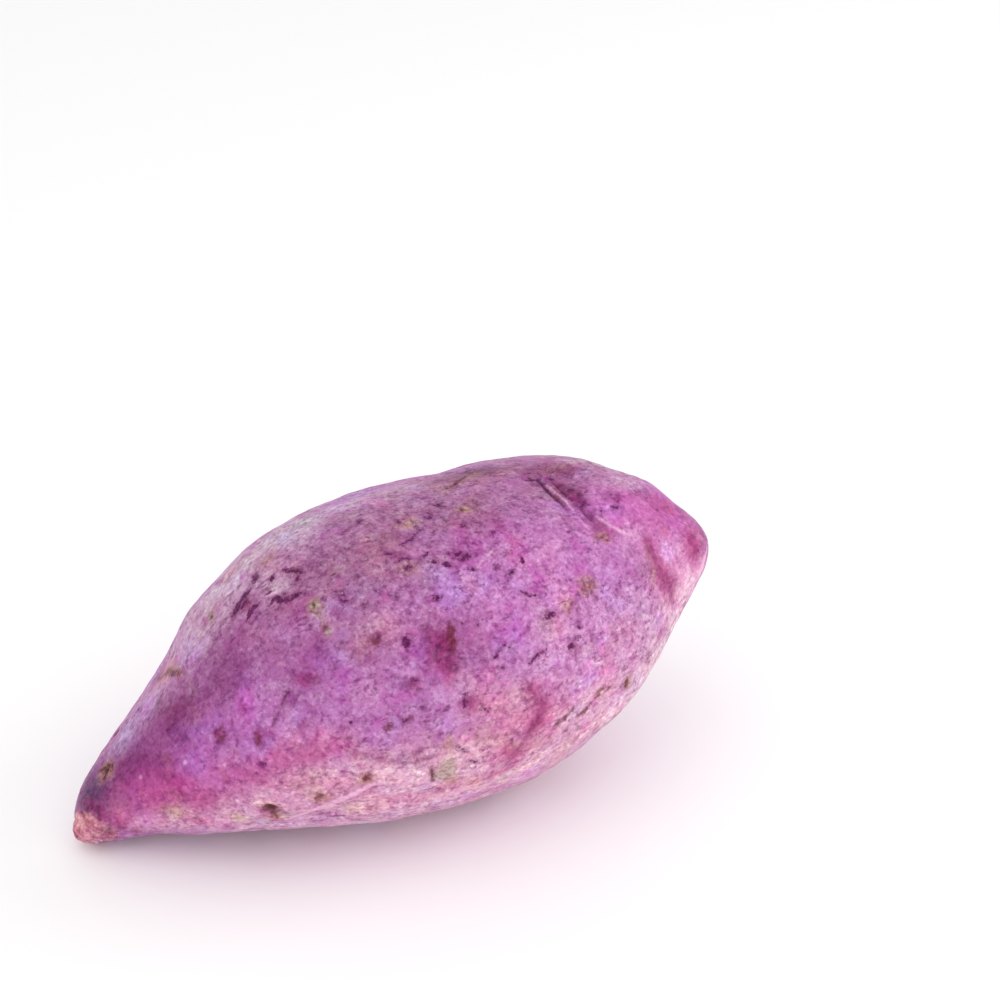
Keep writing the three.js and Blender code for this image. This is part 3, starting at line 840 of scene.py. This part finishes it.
@dataclass
class SkinFields:
    """Where each kind of mark lies: for each corner, millimetres inside the nearest mark of that kind."""

    form: RootForm
    reach: float = 5.0
    scatter: FleckScatter = FleckScatter()
    scars: ScarScatter = ScarScatter()
    tip: BrokenTip = BrokenTip()
    sharp: tuple[MarkKind, ...] = (MarkKind.FLECK, MarkKind.PIT, MarkKind.GRAZE_AND_HIGHLIGHT, MarkKind.SPLIT)

    def depths(self, kinds: Iterable[MarkKind], with_strewn: bool = True) -> dict[MarkKind, Floats]:
        """Works out the fields of some kinds of mark.

        Args:
            kinds: the kinds wanted.
            with_strewn: whether the strewn marks count beside the listed ones.

        Returns:
            One array for each kind, never below minus the reach.
        """
        strewn = {}
        if with_strewn:
            strewn = {**self.scars.marks(), MarkKind.FLECK: list(self.scatter.marks())}
        found = {}
        for kind in kinds:
            depth = np.full(len(self.form.points), -self.reach)
            for mark in (*HAND_PLACED.get(kind, ()), *strewn.get(kind, ())):
                near, inside = mark.depth_inside(self.form, self.reach)
                depth[near] = np.maximum(depth[near], inside)
            found[kind] = depth
        if MarkKind.STUB in found:
            found[MarkKind.STUB] = np.maximum(self.tip.depth_inside(self.form), -self.reach)
        return found

    def fine_zones(self) -> Floats:
        """Finds where the skin has to be finer: in the listed sharp marks and close to them.

        Returns:
            Whether it has to be, for each corner.
        """
        depths = self.depths((*self.sharp, MarkKind.STUB), with_strewn=False)
        stub = depths.pop(MarkKind.STUB)
        close = np.max(list(depths.values()), axis=0) > -RootForm.FINE_MARGIN
        return close | (stub > -RootForm.FINE_MARGIN)

    def tones(self) -> Floats:
        """Blends the washes over the base tone.

        Returns:
            A linear colour for each corner.
        """
        colour = np.tile(np.array(linear(Tone.MAUVE.value)), (len(self.form.points), 1))
        for tone, patch in WASHES:
            colour += (np.array(linear(tone.value)) - colour) * patch.strengths(self.form)[:, None]
        return colour

    def crowding(self) -> Floats:
        """Says for each corner how much denser than usual the dark specks are."""
        return sum(patch.strengths(self.form) for patch in CROWDINGS)


@dataclass(frozen=True)
class Waviness:
    """Smooth unevenness of the skin: its height and the size of its waves, in millimetres.

    It has three layers of waves, and each is twice as fine as the one before and half as high.
    """

    FALL, FINER, LAYERS = 1.0, 2.0, 3

    height: float
    size: float
    streaky: bool = False

    def heights(self, places: list[Vector]) -> Floats:
        """Gives the height at each place, in millimetres."""
        layers = (self.FALL, self.FINER, self.LAYERS)
        return self.height * np.array([noise.fractal(p / self.size, *layers) for p in places])


@dataclass(frozen=True)
class Lift:
    """How one kind of mark stands out, or sinks in where its height is below 0.

    The skin reaches that height as the mark's field goes from `low` to `high`, all in millimetres. The height
    is multiplied by `flat` plus `rough` times a noise.
    """

    kind: MarkKind
    height: float
    low: float
    high: float
    flat: float = 1.0
    rough: float = 0.0


@dataclass(frozen=True)
class SkinRelief:
    """The skin's relief: its waves, of which the streaky ones run along the root, and what its marks add."""

    waves: tuple[Waviness, ...] = (
        Waviness(0.32, 11.0),
        Waviness(0.10, 3.2),
        Waviness(0.06, 2.4, streaky=True),
    )
    rough: Waviness = Waviness(1.0, 2.2)
    streak_length: float = 4.0
    lifts: tuple[Lift, ...] = (
        Lift(MarkKind.FLECK, -0.14, -0.3, 0.3),
        Lift(MarkKind.PIT, -0.7, -0.6, 1.0),
        Lift(MarkKind.CORK, 0.18, -0.5, 0.6, flat=0.4, rough=1.0),
        Lift(MarkKind.SPLIT, -0.5, -0.7, 0.4),
        Lift(MarkKind.GRAZE_AND_HIGHLIGHT, 0.16, -0.8, 0.5),
        Lift(MarkKind.STUB, -0.5, -0.3, 0.5, flat=0.6, rough=-1.0),
    )

    def heights(self, form: RootForm, depths: dict[MarkKind, Floats]) -> Floats:
        """Adds the skin's unevenness and its faults up.

        Args:
            form: the root's form.
            depths: the fields of the marks.

        Returns:
            How far each corner moves outwards, in millimetres.
        """
        places = [Vector(p) for p in form.points / MM]
        flow = [Vector((x / self.streak_length, y, z)) for x, y, z in form.straightened()]
        height = sum(wave.heights(flow if wave.streaky else places) for wave in self.waves)
        rough = self.rough.heights(places)
        for lift in self.lifts:
            share = smooth_step(depths[lift.kind], lift.low, lift.high)
            height += lift.height * share * (lift.flat + lift.rough * rough)
        return height


Socket = bpy.types.NodeSocket
Value = Socket | float | Colour


class NodeSheet:
    """A node tree with short calls for the nodes that the finishes use."""

    def __init__(self, tree: bpy.types.NodeTree) -> None:
        """Starts on a tree.

        Args:
            tree: the tree that the nodes go into.
        """
        self.tree = tree

    def node(self, kind: str, inputs: dict[str | int, Value], **settings: object) -> bpy.types.Node:
        """Adds a node.

        Args:
            kind: the node's type.
            inputs: what goes into each socket, a link or a value.
            settings: the node's own settings.

        Returns:
            The new node.
        """
        made = self.tree.nodes.new(kind)
        for name, value in settings.items():
            setattr(made, name, value)
        for name, value in inputs.items():
            if isinstance(value, Socket):
                self.tree.links.new(value, made.inputs[name])
            else:
                made.inputs[name].default_value = value
        return made

    def math(self, operation: str, first: Value, second: Value = 0.0) -> Socket:
        """Works a value out from one or two others."""
        return self.node("ShaderNodeMath", {0: first, 1: second}, operation=operation).outputs[0]

    def mix(self, share: Value, under: Value, over: Value, blend: str = "MIX") -> Socket:
        """Lays one colour over another.

        Args:
            share: how much of the upper colour shows.
            under: the lower colour.
            over: the upper colour.
            blend: how they blend.

        Returns:
            The blended colour.
        """
        made = self.node(
            "ShaderNodeMix",
            {0: share, 6: under, 7: over},
            data_type="RGBA",
            blend_type=blend,
            clamp_result=True,
        )
        return made.outputs[2]

    def ease(self, value: Value, low: Value, high: Value) -> Socket:
        """Eases a value from 0 at `low` to 1 at `high`."""
        made = self.node(
            "ShaderNodeMapRange",
            {"Value": value, "From Min": low, "From Max": high},
            interpolation_type="SMOOTHSTEP",
        )
        return made.outputs["Result"]

    def attribute(self, name: str, output: str = "Fac") -> Socket:
        """Reads one of the mesh's own attributes."""
        return self.node("ShaderNodeAttribute", {}, attribute_name=name).outputs[output]

    def group(self, tree: bpy.types.NodeTree, inputs: dict[str | int, Value]) -> Socket:
        """Places a node group and gives its first result."""
        return self.node("ShaderNodeGroup", inputs, node_tree=tree).outputs[0]


def new_group(name: str, numbers: Iterable[str]) -> tuple[NodeSheet, dict[str, Socket]]:
    """Starts a shader node group that works a Mask out from a Vector and some numbers.

    Args:
        name: the group's name.
        numbers: the names of its other inputs.

    Returns:
        A sheet to draw in, and the group's inputs by name.
    """
    tree = bpy.data.node_groups.new(name, "ShaderNodeTree")
    tree.interface.new_socket("Vector", in_out="INPUT", socket_type="NodeSocketVector")
    for number in numbers:
        tree.interface.new_socket(number, in_out="INPUT", socket_type="NodeSocketFloat")
    tree.interface.new_socket("Mask", in_out="OUTPUT", socket_type="NodeSocketFloat")
    sheet = NodeSheet(tree)
    entry = sheet.node("NodeGroupInput", {})
    return sheet, {socket.name: socket for socket in entry.outputs if socket.name}


def mottle_group() -> bpy.types.NodeTree:
    """Builds the mottle: a cloudy mask of patches of one size.

    Returns:
        The group. Low and High say which part of the noise the mask rises over.
    """
    sheet, given = new_group("mottle", ("Seed", "Size", "Detail", "Low", "High"))
    cloud = sheet.node(
        "ShaderNodeTexNoise",
        {
            "Vector": given["Vector"],
            "W": given["Seed"],
            "Scale": sheet.math("DIVIDE", 1.0, given["Size"]),
            "Detail": given["Detail"],
            "Roughness": 0.6,
        },
        noise_dimensions="4D",
    )
    mask = sheet.ease(cloud.outputs[0], given["Low"], given["High"])
    sheet.node("NodeGroupOutput", {"Mask": mask})
    return sheet.tree


def ragged_edge_group() -> bpy.types.NodeTree:
    """Builds the ragged edge: it turns a mark's smooth field into a mask with a torn outline.

    Returns:
        The group. Ragged is about how far the outline strays, Softness how wide it fades, in millimetres.
    """
    sheet, given = new_group("ragged_edge", ("Field", "Grain", "Ragged", "Softness"))
    cloud = sheet.node(
        "ShaderNodeTexNoise",
        {
            "Vector": given["Vector"],
            "Scale": sheet.math("DIVIDE", 1.0, given["Grain"]),
            "Detail": 4.0,
            "Roughness": 0.75,
        },
    )
    noise_middle, noise_gain = 0.5, 4.0
    stray = sheet.math("MULTIPLY", sheet.math("SUBTRACT", cloud.outputs[0], noise_middle), noise_gain)
    strayed = sheet.math("ADD", given["Field"], sheet.math("MULTIPLY", stray, given["Ragged"]))
    softness = given["Softness"]
    mask = sheet.ease(strayed, sheet.math("MULTIPLY", softness, -1.0), softness)
    sheet.node("NodeGroupOutput", {"Mask": mask})
    return sheet.tree


@dataclass(frozen=True)
class MarkFinish:
    """How one kind of mark looks, a main colour with flecks of a second.

    Spread is how far it reaches past the field, in millimetres, and an under mark lies below the mottling.
    """

    kind: MarkKind
    colour: str
    second: str
    strength: float
    grain: float
    ragged: float
    softness: float
    spread: float = 0.0
    under: bool = False


@dataclass(frozen=True)
class Mottling:
    """One layer of clouds, streaks or specks in the skin, `size` millimetres across.

    The tint is what it multiplies the red, green and blue below it by.
    """

    name: str
    tint: tuple[float, float, float]
    strength: float
    size: float
    low: float
    high: float
    detail: float = 3.0
    streaky: bool = False
    crowded: bool = False


@dataclass(frozen=True)
class SkinFinish:
    """The dry, mottled purple skin with its marks.

    The pairs for clouds say which part of the noise their mask rises over. Streaks are clouds drawn out along
    the root, by scaling the pattern there.
    """

    name: str = "sweet_potato_skin"
    roughness: float = 0.46
    speck_roughness: float = 0.25
    specular: float = 0.12
    sheen: float = 0.05
    sheen_roughness: float = 0.4
    bump_depth: float = 0.22
    bump_strength: float = 0.6
    crowd_size: float = 7.0
    crowd_clouds: Pair = (0.34, 0.62)
    second_clouds: Pair = (0.45, 0.62)
    streak_scale: float = 0.35
    seed_step: float = 7.3
    mottlings: tuple[Mottling, ...] = (
        Mottling("lilac drift", (1.0, 1.15, 1.3), 0.6, 13.0, 0.50, 0.66),
        Mottling("salmon drift", (1.15, 1.05, 0.85), 0.45, 10.0, 0.52, 0.68),
        Mottling("olive drift", (0.86, 0.98, 0.74), 0.6, 8.0, 0.55, 0.70),
        Mottling("magenta drift", (0.95, 0.48, 0.85), 0.65, 7.0, 0.50, 0.68),
        Mottling("pale drift", (1.2, 1.65, 1.3), 0.4, 5.5, 0.50, 0.68),
        Mottling("plum clouds", (0.55, 0.2, 0.5), 0.6, 3.6, 0.49, 0.70, detail=4.0),
        Mottling("pale clouds", (1.35, 1.85, 1.45), 0.45, 2.6, 0.47, 0.70, detail=4.0),
        Mottling("pale streaks", (1.35, 1.8, 1.35), 0.45, 1.6, 0.45, 0.75, streaky=True),
        Mottling("plum blotches", (0.5, 0.16, 0.45), 0.5, 1.8, 0.51, 0.68),
        Mottling("pale grain", (1.6, 2.2, 1.75), 0.5, 1.0, 0.42, 0.80, detail=2.0),
        Mottling("plum grain", (0.3, 0.1, 0.28), 0.5, 0.95, 0.44, 0.78, detail=2.0),
        Mottling("plum crowd", (0.3, 0.08, 0.26), 0.6, 1.3, 0.50, 0.68, detail=4.0, crowded=True),
        Mottling("fine cracks", (0.3, 0.1, 0.25), 0.6, 1.2, 0.57, 0.72, streaky=True, crowded=True),
    )
    marks: tuple[MarkFinish, ...] = (
        MarkFinish(MarkKind.STUB, "#cc869c", "#ac5c70", 0.92, 2.2, 0.7, 0.7, under=True),
        MarkFinish(MarkKind.STAIN, "#b8886e", "#8d6a66", 0.65, 1.4, 1.3, 2.0, under=True),
        # bruises, and the painted shade beside the cleft
        MarkFinish(MarkKind.BRUISE_AND_SHADE, "#8c2868", "#661d48", 0.80, 1.6, 1.5, 2.2, under=True),
        MarkFinish(MarkKind.FLECK, "#84306e", "#6a2260", 0.55, 1.0, 1.0, 0.9, 0.3, under=True),
        MarkFinish(MarkKind.PIT, "#a8605c", "#8a4238", 0.40, 1.0, 0.9, 1.1, 0.4, under=True),
        # the splits, darkened as painted shade in their hollows
        MarkFinish(MarkKind.SPLIT, "#7c2462", "#5c1a44", 0.50, 1.2, 0.8, 1.0, 0.5, under=True),
        MarkFinish(MarkKind.WEAL, "#5c1430", "#7a363a", 0.85, 0.9, 0.8, 0.7),
        MarkFinish(MarkKind.CORK, "#b8a49a", "#8c7064", 0.75, 1.0, 0.7, 0.7),
        MarkFinish(MarkKind.FLECK, "#4e0c40", "#6e1e60", 0.95, 0.8, 0.8, 0.3, -0.12),
        MarkFinish(MarkKind.PIT, "#54242a", "#34181a", 0.85, 0.8, 0.6, 0.5),
        # the darkest lines of the splits, painted shade
        MarkFinish(MarkKind.SPLIT, "#4a1038", "#36102c", 0.80, 0.8, 0.4, 0.35),
        # pale scratches and grains, and painted highlights on lips and ridges
        MarkFinish(MarkKind.GRAZE_AND_HIGHLIGHT, "#f0bcdc", "#dca0c6", 0.80, 1.2, 0.3, 0.55),
    )

    def build(self, mottle: bpy.types.NodeTree, ragged_edge: bpy.types.NodeTree) -> bpy.types.Material:
        """Builds the material.

        Args:
            mottle: the group that makes cloudy masks.
            ragged_edge: the group that gives marks their torn outlines.

        Returns:
            The finished skin.
        """
        material = bpy.data.materials.new(self.name)
        material.use_nodes = True
        material.node_tree.nodes.clear()
        sheet = NodeSheet(material.node_tree)
        place = sheet.node("ShaderNodeTexCoord", {}).outputs["Object"]
        solid = sheet.node("ShaderNodeVectorMath", {0: place, "Scale": 1 / MM}, operation="SCALE").outputs[0]
        flow = sheet.node(
            "ShaderNodeVectorMath",
            {0: sheet.attribute("flow", "Vector"), 1: (self.streak_scale, 1.0, 1.0)},
            operation="MULTIPLY",
        ).outputs[0]

        seeds = itertools.count()

        def cloud(
            size: float, low: float, high: float, detail: float = 3.0, streaky: bool = False
        ) -> Socket:
            """Places one mottle, each with a pattern of its own.

            Args:
                size: how large its patches are, in millimetres.
                low: the noise at which the mask leaves 0.
                high: the noise at which it reaches 1.
                detail: how many finer patterns lie in it.
                streaky: whether it is drawn out along the root.

            Returns:
                The mask.
            """
            return sheet.group(
                mottle,
                {
                    "Vector": flow if streaky else solid,
                    "Seed": self.seed_step * next(seeds),
                    "Size": size,
                    "Detail": detail,
                    "Low": low,
                    "High": high,
                },
            )

        def laid(colour: Socket, finish: MarkFinish) -> Socket:
            """Lays one kind of mark over a colour.

            Args:
                colour: the colour below.
                finish: how the mark looks.

            Returns:
                The colour with the marks on it.
            """
            seconds = cloud(finish.grain, *self.second_clouds)
            colours = sheet.mix(seconds, linear(finish.colour), linear(finish.second))
            mask = sheet.group(
                ragged_edge,
                {
                    "Field": sheet.math("ADD", sheet.attribute(finish.kind.value), finish.spread),
                    "Vector": solid,
                    "Grain": finish.grain,
                    "Ragged": finish.ragged,
                    "Softness": finish.softness,
                },
            )
            return sheet.mix(sheet.math("MULTIPLY", mask, finish.strength), colour, colours)

        colour = sheet.attribute("tone", "Color")
        for finish in self.marks:
            if finish.under:
                colour = laid(colour, finish)

        # Crowded specks show where the drift and the mesh's own field are high. They sink into the skin, and
        # the last of their layers is rougher as well.
        drift = cloud(self.crowd_size, *self.crowd_clouds, detail=2.0)
        crowd = sheet.math("ADD", drift, sheet.attribute("crowding"))
        crowd = sheet.node("ShaderNodeClamp", {"Value": crowd}).outputs[0]
        relief = rough = None
        for layer in self.mottlings:
            mask = cloud(layer.size, layer.low, layer.high, layer.detail, layer.streaky)
            mask.node.label = layer.name
            if layer.crowded:
                mask = sheet.math("MULTIPLY", mask, crowd)
            share = sheet.math("MULTIPLY", mask, layer.strength)
            colour = sheet.mix(share, colour, (*layer.tint, 1.0), blend="MULTIPLY")
            if layer.crowded:
                relief = sheet.math("SUBTRACT", relief or 0.0, mask)
                rough = mask
        for finish in self.marks:
            if not finish.under:
                colour = laid(colour, finish)

        bump = sheet.node(
            "ShaderNodeBump",
            {"Height": relief, "Strength": self.bump_strength, "Distance": self.bump_depth * MM},
        )
        roughness = sheet.math("ADD", self.roughness, sheet.math("MULTIPLY", rough, self.speck_roughness))
        skin = sheet.node(
            "ShaderNodeBsdfPrincipled",
            {
                "Base Color": colour,
                "Roughness": roughness,
                "Specular IOR Level": self.specular,
                "Normal": bump.outputs[0],
                "Sheen Weight": self.sheen,
                "Sheen Roughness": self.sheen_roughness,
            },
        )
        sheet.node("ShaderNodeOutputMaterial", {"Surface": skin.outputs[0]})
        return material


@dataclass(frozen=True)
class SweetPotato:
    """The whole root: one piece, its skin with everything that grew into it."""

    node: str = "sweet_potato"
    body: str = "root"
    slot: str = "skin"
    piece: str = "potato_skin"
    relief: SkinRelief = SkinRelief()
    finish: SkinFinish = SkinFinish()

    def build(self) -> bpy.types.Object:
        """Makes the root's skin and dresses it.

        Returns:
            The finished piece.
        """
        form = RootForm(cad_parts[self.node])
        fields = SkinFields(form)
        form.refine(fields.fine_zones())
        depths = fields.depths(MarkKind)
        heights = self.relief.heights(form, depths)
        outward = np.array([v.normal for v in form.mesh.verts])
        moved = form.points + outward * heights[:, None] * MM
        moved[:, 2] = np.maximum(moved[:, 2], 0.0)

        floats = {kind.value: depth for kind, depth in depths.items()}
        floats["crowding"] = fields.crowding()
        flow, tones = form.straightened(), fields.tones()

        mesh = bpy.data.meshes.new(self.piece)
        form.mesh.to_mesh(mesh)
        form.mesh.free()
        mesh.vertices.foreach_set("co", moved.ravel())
        mesh.polygons.foreach_set("use_smooth", [True] * len(mesh.polygons))
        mesh.update()
        for name, values in floats.items():
            layer = mesh.attributes.new(name, "FLOAT", "POINT")
            layer.data.foreach_set("value", values)
        layer = mesh.attributes.new("flow", "FLOAT_VECTOR", "POINT")
        layer.data.foreach_set("vector", flow.ravel())
        layer = mesh.color_attributes.new("tone", "FLOAT_COLOR", "POINT")
        layer.data.foreach_set("color", tones.ravel())
        mesh.materials.append(self.finish.build(mottle_group(), ragged_edge_group()))

        piece = add_object(self.piece, mesh)
        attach(piece, self.body)
        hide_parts(self.node)
        return piece


@dataclass(frozen=True)
class Softbox:
    """A soft light: a lit square that faces the root, placed by direction and measured in root lengths."""

    name: str
    azimuth: float
    elevation: float
    distance: float
    size: float
    strength: float

    def place(self) -> None:
        """Hangs the light."""
        lamp = bpy.data.lights.new(self.name, "AREA")
        lamp.shape = "SQUARE"
        lamp.size = self.size * ROOT_LENGTH
        lamp.energy = self.strength * ROOT_LENGTH**2
        light = add_object(self.name, lamp)
        back = direction(self.azimuth, self.elevation)
        light.location = back * self.distance * ROOT_LENGTH
        light.rotation_euler = back.to_track_quat("Z", "Y").to_euler()


def direction(azimuth: float, elevation: float) -> Vector:
    """Gives the way to a viewpoint: azimuth 0 is in front (-Y), 90 on the crown's side (+X)."""
    turn, rise = math.radians(azimuth), math.radians(elevation)
    return Vector((math.sin(turn) * math.cos(rise), -math.cos(turn) * math.cos(rise), math.sin(rise)))


@dataclass(frozen=True)
class Viewpoint:
    """The camera: where it stands and what it aims at, measured in root lengths."""

    azimuth: float = -19.4
    elevation: float = 30.0
    distance: float = 3.686
    aim_right: float = 0.1755
    aim_up: float = 0.429
    lens: float = 85.0
    sensor: float = 36.0

    def place(self) -> None:
        """Sets the camera up."""
        data = bpy.data.cameras.new("camera")
        data.lens = self.lens
        data.sensor_width = self.sensor
        camera = add_object("camera", data)
        back = direction(self.azimuth, self.elevation)
        turn = math.radians(self.azimuth)
        right = Vector((math.cos(turn), math.sin(turn), 0.0))
        up = back.cross(right)
        aim = right * self.aim_right + up * self.aim_up
        camera.location = (aim + back * self.distance) * ROOT_LENGTH
        camera.rotation_euler = back.to_track_quat("Z", "Y").to_euler()
        bpy.context.scene.camera = camera


@dataclass(frozen=True)
class Studio:
    """The pale floor, the soft light and the camera. The floor is measured in root lengths."""

    floor_size: float = 60.0
    floor_colour: str = "#fbfafa"
    floor_roughness: float = 0.8
    world_strength: float = 0.92
    view: Viewpoint = Viewpoint()
    lights: tuple[Softbox, ...] = (
        Softbox("overhead", -60, 62, 5.0, 4.5, 35.0),
        Softbox("crown_side", 85, 22, 5.0, 2.6, 67.0),
        Softbox("front", -10, 10, 6.0, 3.5, 50.0),
    )

    def build(self) -> None:
        """Builds the studio."""
        self._floor()
        self._world()
        for light in self.lights:
            light.place()
        self.view.place()
        bpy.context.scene.view_settings.view_transform = "Standard"

    def _floor(self) -> None:
        """Lays the floor."""
        bm = bmesh.new()
        bmesh.ops.create_grid(bm, x_segments=1, y_segments=1, size=self.floor_size * ROOT_LENGTH / 2)
        mesh = bpy.data.meshes.new("floor")
        bm.to_mesh(mesh)
        bm.free()
        material = bpy.data.materials.new("floor")
        material.use_nodes = True
        surface = material.node_tree.nodes["Principled BSDF"]
        surface.inputs["Base Color"].default_value = linear(self.floor_colour)
        surface.inputs["Roughness"].default_value = self.floor_roughness
        mesh.materials.append(material)
        floor = add_object("floor", mesh)

    def _world(self) -> None:
        """Fills the room with plain white light."""
        world = bpy.data.worlds.new("studio")
        world.use_nodes = True
        background = world.node_tree.nodes["Background"]
        background.inputs["Color"].default_value = (1.0, 1.0, 1.0, 1.0)
        background.inputs["Strength"].default_value = self.world_strength
        bpy.context.scene.world = world


def main() -> None:
    """Builds the root and its studio, and reports each piece."""
    logging.basicConfig(level=logging.INFO, format="%(message)s")
    root = SweetPotato().build()
    LOG.info("%s: %d corners, %d faces", root.name, len(root.data.vertices), len(root.data.polygons))
    Studio().build()
    LOG.info("studio: floor, lights and camera")


if __name__ == "__main__":
    main()
